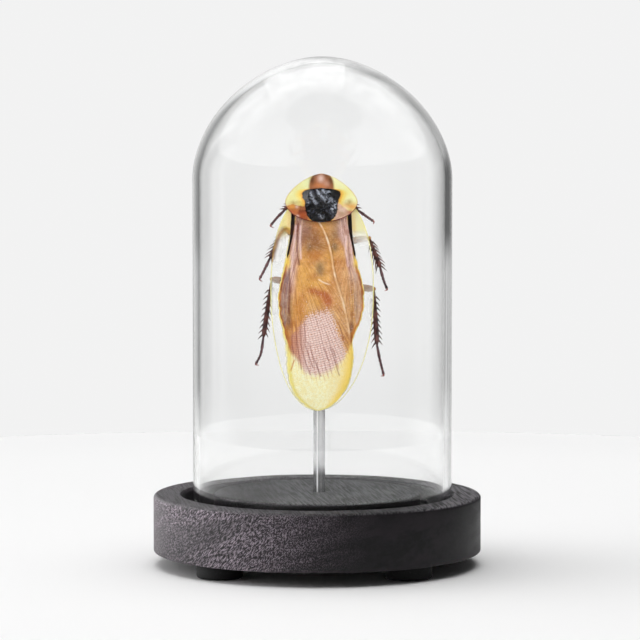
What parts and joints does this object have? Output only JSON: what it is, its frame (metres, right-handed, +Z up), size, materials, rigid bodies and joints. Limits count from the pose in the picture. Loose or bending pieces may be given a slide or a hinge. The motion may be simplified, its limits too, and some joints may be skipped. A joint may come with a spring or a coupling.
{
  "type": "cockroach specimen in glass dome",
  "caption": "Dried cockroach held upright on a steel rod under a clear glass dome that stands in the groove of a round dark wood base on rubber feet.",
  "frame": {"origin": "ground level under the centre of the round wood base", "axes": "+Z up along the rod, +X to the right and -Y towards a viewer who looks at the back of the insect"},
  "size_m": [0.1, 0.1, 0.1549],
  "materials": {
    "stained_wood": "dark stained, open fine grain, satin",
    "black_rubber": "matte",
    "clear_glass": "clear polished",
    "rod_steel": "drawn, bright",
    "shield_cuticle": "glossy, clear yellow rim with a black centre",
    "tegmen_membrane": "thin translucent horn, satin",
    "hindwing_membrane": "thin pleated membrane, satin",
    "body_cuticle": "brown horn, satin",
    "limb_cuticle": "dark brown horn, satin"
  },
  "bodies": {
    "root": {"wood_base": "stained_wood", "foot_front_left": "black_rubber", "foot_front_right": "black_rubber", "foot_back_left": "black_rubber", "foot_back_right": "black_rubber", "glass_dome": "clear_glass", "steel_rod": "rod_steel", "pronotum": "shield_cuticle", "left_tegmen": "tegmen_membrane", "right_tegmen": "tegmen_membrane", "left_hindwing": "hindwing_membrane", "right_hindwing": "hindwing_membrane", "body": "body_cuticle", "head": "body_cuticle", "left_antenna": "limb_cuticle", "right_antenna": "limb_cuticle", "left_front_leg": "limb_cuticle", "right_front_leg": "limb_cuticle", "left_middle_leg": "limb_cuticle", "right_middle_leg": "limb_cuticle", "left_hind_leg": "limb_cuticle", "right_hind_leg": "limb_cuticle"}
  },
  "joints": []
}
